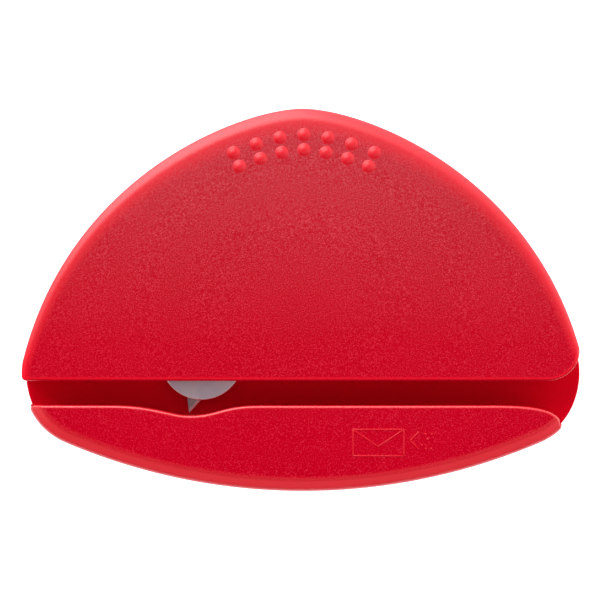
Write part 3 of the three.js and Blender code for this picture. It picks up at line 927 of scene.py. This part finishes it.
def red_plastic():
    """Red moulded plastic with spark-eroded grain and gloss where each piece's finish says so. The grain's
    peaks carry painted glints and the ungrained parts a painted lighter colour.
    """
    material, tree, shader = new_material("red_plastic")
    grained, gloss, depth = finish_parts(tree)
    fine = noise(tree, FINE_GRAIN, detail=1)
    clumps = noise(tree, CLUMPS)
    cloud = noise(tree, CLOUDS)
    flow = noise(tree, FLOW_LINES, stretch_by=FLOW_STRETCH)
    body = mixed(tree, between(tree, cloud, *MIDDLE, 0, 1), RED_DEEP, RED_FACE)
    # Painted light: the smooth parts take a much lighter colour than the face.
    smooth_lit = mixed(tree, between(tree, flow, *MIDDLE, 0, 1), RED_SMOOTH_LIT_DEEP, RED_SMOOTH_LIT)
    peaks = between(tree, fine, *PEAKS, 0, 1)
    glint = maths(tree, "MULTIPLY", peaks, grained)
    # Painted glints: the grain's peaks are coloured lighter.
    painted_glints = mixed(tree, glint, body, RED_PAINTED_GLINT)
    outside = mixed(tree, grained, smooth_lit, painted_glints)
    tree.links.new(mixed(tree, depth, outside, RED_INSIDE), shader.inputs["Base Color"])
    varied = between(tree, clumps, *WIDE, -ROUGHNESS_SPREAD, ROUGHNESS_SPREAD)
    rough = maths(tree, "ADD", between(tree, grained, 0, 1, SMOOTH_ROUGHNESS, GRAIN_ROUGHNESS), varied)
    tree.links.new(rough, shader.inputs["Roughness"])
    uneven = maths(tree, "MULTIPLY", between(tree, fine, *MIDDLE, *GLOSS_SPREAD), grained)
    sheen = maths(tree, "MULTIPLY", gloss, maths(tree, "ADD", uneven, 1))
    sparkle = maths(tree, "MULTIPLY", maths(tree, "MULTIPLY", glint, glint), SPARKLE)
    tree.links.new(maths(tree, "ADD", sheen, sparkle), shader.inputs["Specular IOR Level"])
    pits = maths(tree, "MULTIPLY", fine, grained)
    swell = maths(tree, "MULTIPLY", clumps, grained)
    bumped(tree, shader, [(flow, FLOW_DEPTH), (swell, SWELL_DEPTH), (pits, PIT_DEPTH)])
    return material


def brushed_steel(name, dark, light, roughness):
    """Steel with fine brush lines along Y and faint clouding. Its edges carry a painted highlight that
    scatters the plastic's red.
    """
    material, tree, shader = new_material(name)
    edge_highlight = finish_parts(tree)[0]
    lines = noise(tree, BRUSH_LINES, detail=3, stretch_by=BRUSH_STRETCH)
    cloud = noise(tree, STEEL_CLOUDS)
    lined = maths(tree, "MULTIPLY", lines, LINE_SHARE)
    tone = maths(tree, "ADD", lined, maths(tree, "MULTIPLY", cloud, CLOUD_SHARE))
    plain = mixed(tree, between(tree, tone, *WIDE, 0, 1), dark, light)
    # Painted highlight: edges marked by the finish turn nearly white and mostly non-metallic, so they scatter
    # the plastic's red.
    tree.links.new(mixed(tree, edge_highlight, plain, STEEL_EDGE_HIGHLIGHT), shader.inputs["Base Color"])
    rough = between(tree, lines, *WIDE, roughness - ROUGHNESS_SPREAD, roughness + ROUGHNESS_SPREAD)
    tree.links.new(rough, shader.inputs["Roughness"])
    tree.links.new(between(tree, edge_highlight, 0, 1, 1, EDGE_HIGHLIGHT_METALLIC), shader.inputs["Metallic"])
    bumped(tree, shader, [(cloud, CLOUD_DEPTH), (lines, LINE_DEPTH)])
    return material


# ---------------------------------------------------------------- the pieces


def place(piece, slot, *replaced):
    """Fixes a piece to the body and hides the CAD nodes it stands for. Its slot argument is not used."""
    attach(piece, "root")
    if replaced:
        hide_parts(*replaced)


def build_object():
    """Every piece of the opener, on the frame."""
    red = red_plastic()
    disc = brushed_steel("satin_disc_steel", STEEL_DARK, STEEL_LIGHT, DISC_ROUGHNESS)
    blade = brushed_steel("ground_blade_steel", BLADE_DARK, BLADE_LIGHT, BLADE_ROUGHNESS)
    dome_look = (DOME_LIP, DOME_LIP_GRAIN, DOME_SHOULDER, DOME_GRAIN, red)
    keel_look = (KEEL_LIP, KEEL_LIP_GRAIN, KEEL_SHOULDER, KEEL_GRAIN, red)
    dome = cover_skin("dome_cover_skin", dome_loop(), UPPER_LIP, *dome_look)
    keel = cover_skin("keel_cover_skin", keel_loop(), LOWER_LIP, *keel_look)
    place(rear_skin("rear_shell_skin", red), "red_plastic", "rear_shell")
    place(dome, "red_plastic", "dome_cover")
    place(keel, "red_plastic", "keel_cover")
    place(grip_studs("grip_studs", red), "red_plastic")
    place(envelope_mark("envelope_mark", red), "red_plastic")
    place(guard_disc("guard_disc_skin", disc), "disc_steel", "guard_disc")
    place(cutter_blade("cutter_blade_skin", blade), "blade_steel", "cutter_blade")


# ---------------------------------------------------------------- stage, lights and camera


def white_table():
    """A broad white table whose surface photographs as pure white, with a trace of contact shadow."""
    mesh = bpy.data.meshes.new("table")
    corners = [(x * TABLE_HALF, y * TABLE_HALF, 0) for x, y in ((-1, -1), (1, -1), (1, 1), (-1, 1))]
    mesh.from_pydata(corners, [], [(0, 1, 2, 3)])
    table = bpy.data.objects.new("table", mesh)
    bpy.context.scene.collection.objects.link(table)
    table.location.z = -TABLE_DROP
    material, _, shader = new_material("white_table")
    shader.inputs["Base Color"].default_value = (TABLE_GREY, TABLE_GREY, TABLE_GREY, 1)
    shader.inputs["Roughness"].default_value = TABLE_ROUGHNESS
    shader.inputs["Specular IOR Level"].default_value = 0
    shader.inputs["Emission Color"].default_value = (1, 1, 1, 1)
    shader.inputs["Emission Strength"].default_value = 1
    mesh.materials.append(material)


def softbox(name, place_at, size, power, mirrored=True):
    """A rectangular light aimed at the object, which shows in reflections only if it is mirrored."""
    light = bpy.data.lights.new(name, "AREA")
    light.shape = "RECTANGLE"
    light.size, light.size_y = size
    light.energy = power
    lamp = bpy.data.objects.new(name, light)
    bpy.context.scene.collection.objects.link(lamp)
    lamp.location = place_at
    lamp.rotation_euler = (-Vector(place_at)).to_track_quat("-Z", "Y").to_euler()
    lamp.visible_glossy = mirrored


def studio():
    """Pale walls, lighter on the right and dark in front, a dim ceiling, a large softbox and a weak fill."""
    world = bpy.data.worlds.new("studio")
    bpy.context.scene.world = world
    world.use_nodes = True
    tree = world.node_tree
    sky = tree.nodes["Background"]
    place_of = tree.nodes.new("ShaderNodeTexCoord")
    split = tree.nodes.new("ShaderNodeSeparateXYZ")
    tree.links.new(place_of.outputs["Generated"], split.inputs[0])
    walls = between(tree, split.outputs["Z"], *CEILING_RISE, WALL_LIGHT, CEILING_LIGHT)
    front = between(tree, split.outputs["Y"], *FRONT_FADE, FRONT_SHARE, 1)
    side = between(tree, split.outputs["X"], -1, 1, LEFT_SHARE, RIGHT_SHARE)
    strength = maths(tree, "MULTIPLY", maths(tree, "MULTIPLY", walls, front), side)
    tree.links.new(strength, sky.inputs["Strength"])
    sky.inputs["Color"].default_value = (1, 1, 1, 1)
    softbox("key", KEY_AT, KEY_SIZE, KEY_POWER)
    softbox("fill", FILL_AT, FILL_SIZE, FILL_POWER, mirrored=False)


def camera():
    """A long lens straight above the opener."""
    data = bpy.data.cameras.new("camera")
    data.sensor_width = CAMERA_SENSOR
    data.lens = CAMERA_LENS
    eye = bpy.data.objects.new("camera", data)
    bpy.context.scene.collection.objects.link(eye)
    eye.location = (*CAMERA_OVER, THICKNESS + CAMERA_DISTANCE)
    data.clip_start, data.clip_end = CAMERA_CLIP
    bpy.context.scene.camera = eye


build_object()
white_table()
studio()
camera()
bpy.context.scene.view_settings.view_transform = "Standard"
